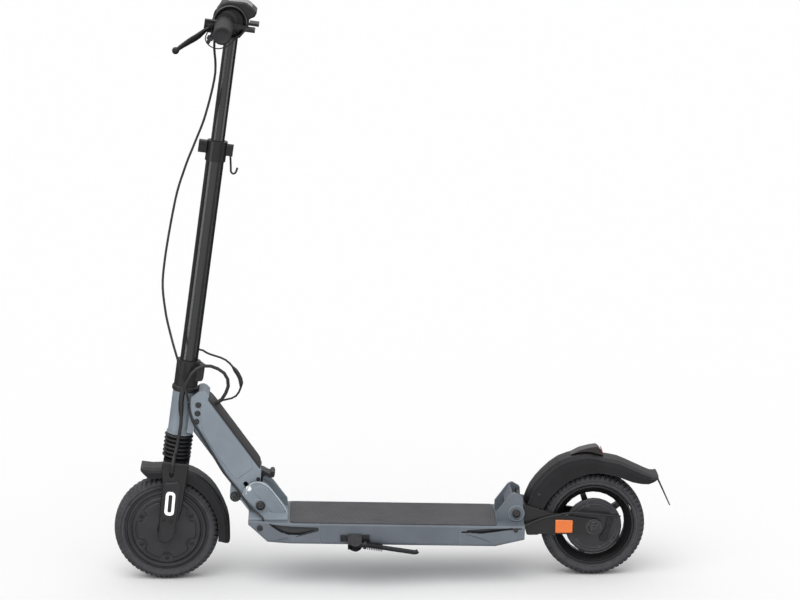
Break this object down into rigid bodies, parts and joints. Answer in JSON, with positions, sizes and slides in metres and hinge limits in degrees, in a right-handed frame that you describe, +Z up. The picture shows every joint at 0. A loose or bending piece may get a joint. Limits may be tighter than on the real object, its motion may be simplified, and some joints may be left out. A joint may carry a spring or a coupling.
{
  "type": "electric scooter",
  "caption": "Folding stand-up electric scooter: hub motor in a sprung front fork, deck with battery, telescoping stem, bar with display and levers, sprung rear wheel with a brake arm.",
  "frame": {"origin": "centre of the bounding box at floor level, between the two wheels' contact", "axes": "+X toward the rear wheel, +Y toward the rider's right, +Z up from the floor"},
  "size_m": [1.0614, 0.47, 1.1072],
  "materials": {
    "painted_alloy": "cast and drawn aluminium alloy, satin blue-grey paint",
    "deck_alloy": "extruded aluminium, satin grey paint",
    "grey_plastic": "moulded plastic, fine matte grain",
    "rubber": "moulded rubber, matte",
    "battery_wrap": "heat-shrink wrap, smooth",
    "steel": "zinc-plated steel, bright",
    "dark_steel": "steel, black coated, satin",
    "bar_alloy": "drawn aluminium tube, satin black coat",
    "motor_alloy": "cast alloy over steel magnets, satin black paint",
    "black_plastic": "moulded plastic, fine matte grain",
    "cable_jacket": "soft vinyl jacket, satin",
    "lens": "smoked polycarbonate, gloss",
    "tyre_rubber": "moulded tyre rubber, matte",
    "red_lens": "red polycarbonate, gloss",
    "black_alloy": "aluminium alloy, satin black paint"
  },
  "bodies": {
    "deck": {"deck_extrusion": "deck_alloy", "deck_nose": "painted_alloy", "deck_tail": "painted_alloy", "fold_bracket": "painted_alloy", "inlay_front_left": "grey_plastic", "inlay_front_right": "grey_plastic", "inlay_rear_left": "grey_plastic", "inlay_rear_right": "grey_plastic", "grip_mat": "rubber", "elastomer_buffer": "rubber", "battery_pack": "battery_wrap", "swing_pivot_bolt": "steel", "fold_pivot_bolt": "dark_steel", "stand_bracket": "dark_steel"},
    "beam": {"beam": "painted_alloy", "beam_cover": "painted_alloy", "head_tube": "painted_alloy", "controller": "black_plastic", "headset_cup": "black_plastic", "brake_cable_beam": "cable_jacket"},
    "release_lever": {"release_lever": "dark_steel"},
    "lock_pin": {"lock_pin": "steel"},
    "steerer": {"stem_outer_tube": "black_alloy", "collar_clamp": "black_alloy", "neck_block": "black_plastic", "clamp_bolt": "steel", "suspension_spring": "steel", "bellows": "rubber", "display_lead": "cable_jacket"},
    "clamp_lever": {"clamp_lever": "dark_steel"},
    "latch_hook": {"latch_hook": "steel"},
    "upper_stem": {"stem_inner_tube": "black_alloy", "handlebar": "bar_alloy", "brake_mount": "dark_steel", "grip_left": "rubber", "grip_right": "rubber", "head_housing": "black_plastic", "display_lens": "lens", "brake_cable_stem": "cable_jacket"},
    "brake_lever": {"brake_lever": "dark_steel"},
    "throttle_paddle": {"throttle_paddle": "black_plastic"},
    "regen_paddle": {"regen_paddle": "black_plastic"},
    "fork": {"fork": "black_alloy", "front_fender": "grey_plastic", "front_axle": "steel", "motor_lead": "cable_jacket"},
    "front_wheel": {"front_tyre": "tyre_rubber", "hub_motor": "motor_alloy"},
    "stand": {"stand_leg": "dark_steel", "stand_spring": "steel"},
    "swing_arm": {"swing_arm": "black_alloy", "rear_fender": "grey_plastic", "tail_light": "red_lens", "mud_flap": "rubber", "brake_plate": "dark_steel", "rear_axle": "steel", "brake_cable_rear": "cable_jacket"},
    "brake_arm": {"brake_arm": "dark_steel"},
    "rear_wheel": {"rear_tyre": "tyre_rubber", "rear_rim": "black_alloy"}
  },
  "joints": [
    {"name": "fold", "type": "hinge", "parent": "deck", "child": "beam", "pos_m": [-0.25116, 0, 0.15034], "axis": [0, 1, 0], "range_deg": [0, 82], "deforming": ["brake_cable_beam"]},
    {"name": "steering", "type": "hinge", "parent": "beam", "child": "steerer", "pos_m": [-0.43065, 0, 0.1], "axis": [0.1418, 0, 0.9899], "range_deg": [-60, 60], "deforming": ["display_lead"]},
    {"name": "height", "type": "slide", "parent": "steerer", "child": "upper_stem", "axis": [0.1418, 0, 0.9899], "range_m": [-0.17, 0], "deforming": ["brake_cable_stem"]},
    {"name": "suspension", "type": "slide", "parent": "steerer", "child": "fork", "axis": [0.1418, 0, 0.9899], "range_m": [0, 0.014], "stiffness_N_per_m": 15000, "springref_m": -0.02, "deforming": ["bellows", "suspension_spring", "motor_lead"]},
    {"name": "front_wheel_spin", "type": "hinge", "parent": "fork", "child": "front_wheel", "pos_m": [-0.43065, 0, 0.1], "axis": [0, 1, 0], "continuous": true},
    {"name": "swing", "type": "hinge", "parent": "deck", "child": "swing_arm", "pos_m": [0.23485, 0, 0.1303], "axis": [0, -1, 0], "range_deg": [0, 8], "stiffness_Nm_per_rad": 150, "springref_deg": -8.59, "deforming": ["elastomer_buffer", "brake_cable_rear"]},
    {"name": "rear_wheel_spin", "type": "hinge", "parent": "swing_arm", "child": "rear_wheel", "pos_m": [0.38335, 0, 0.1], "axis": [0, 1, 0], "continuous": true},
    {"name": "release_lever", "type": "hinge", "parent": "beam", "child": "release_lever", "pos_m": [-0.25514, 0, 0.20008], "axis": [0, 1, 0], "range_deg": [0, 24], "stiffness_Nm_per_rad": 2, "springref_deg": -11.46},
    {"name": "lock_pin", "type": "slide", "parent": "beam", "child": "lock_pin", "axis": [-0.5779, 0, 0.8161], "range_m": [0, 0.0108]},
    {"name": "clamp_lever", "type": "hinge", "parent": "steerer", "child": "clamp_lever", "pos_m": [-0.35233, 0.017, 0.83381], "axis": [0.1418, 0, 0.9899], "range_deg": [0, 110]},
    {"name": "latch_hook", "type": "hinge", "parent": "steerer", "child": "latch_hook", "pos_m": [-0.30107, 0, 0.82495], "axis": [0, 1, 0], "range_deg": [-90, 0]},
    {"name": "brake_lever", "type": "hinge", "parent": "upper_stem", "child": "brake_lever", "pos_m": [-0.32962, -0.106, 1.06644], "axis": [0.1418, 0, 0.9899], "range_deg": [0, 25], "stiffness_Nm_per_rad": 2, "springref_deg": -11.46},
    {"name": "brake_arm", "type": "hinge", "parent": "swing_arm", "child": "brake_arm", "pos_m": [0.40135, 0, 0.077], "axis": [0, -1, 0], "range_deg": [0, 9]},
    {"name": "throttle_paddle", "type": "hinge", "parent": "upper_stem", "child": "throttle_paddle", "pos_m": [-0.30649, 0, 1.06858], "axis": [0, 1, 0], "range_deg": [0, 25], "stiffness_Nm_per_rad": 0.3, "springref_deg": -17.19},
    {"name": "regen_paddle", "type": "hinge", "parent": "upper_stem", "child": "regen_paddle", "pos_m": [-0.30649, 0, 1.06858], "axis": [0, 1, 0], "range_deg": [0, 25], "stiffness_Nm_per_rad": 0.3, "springref_deg": -17.19},
    {"name": "stand", "type": "hinge", "parent": "deck", "child": "stand", "pos_m": [-0.07255, -0.088, 0.084], "axis": [0, 0.6626, -0.749], "range_deg": [0, 90]}
  ],
  "couplings": [
    {"joint": "lock_pin", "follows": "release_lever", "m_per_rad": 0.02526},
    {"joint": "brake_arm", "follows": "brake_lever", "ratio": 0.35}
  ]
}
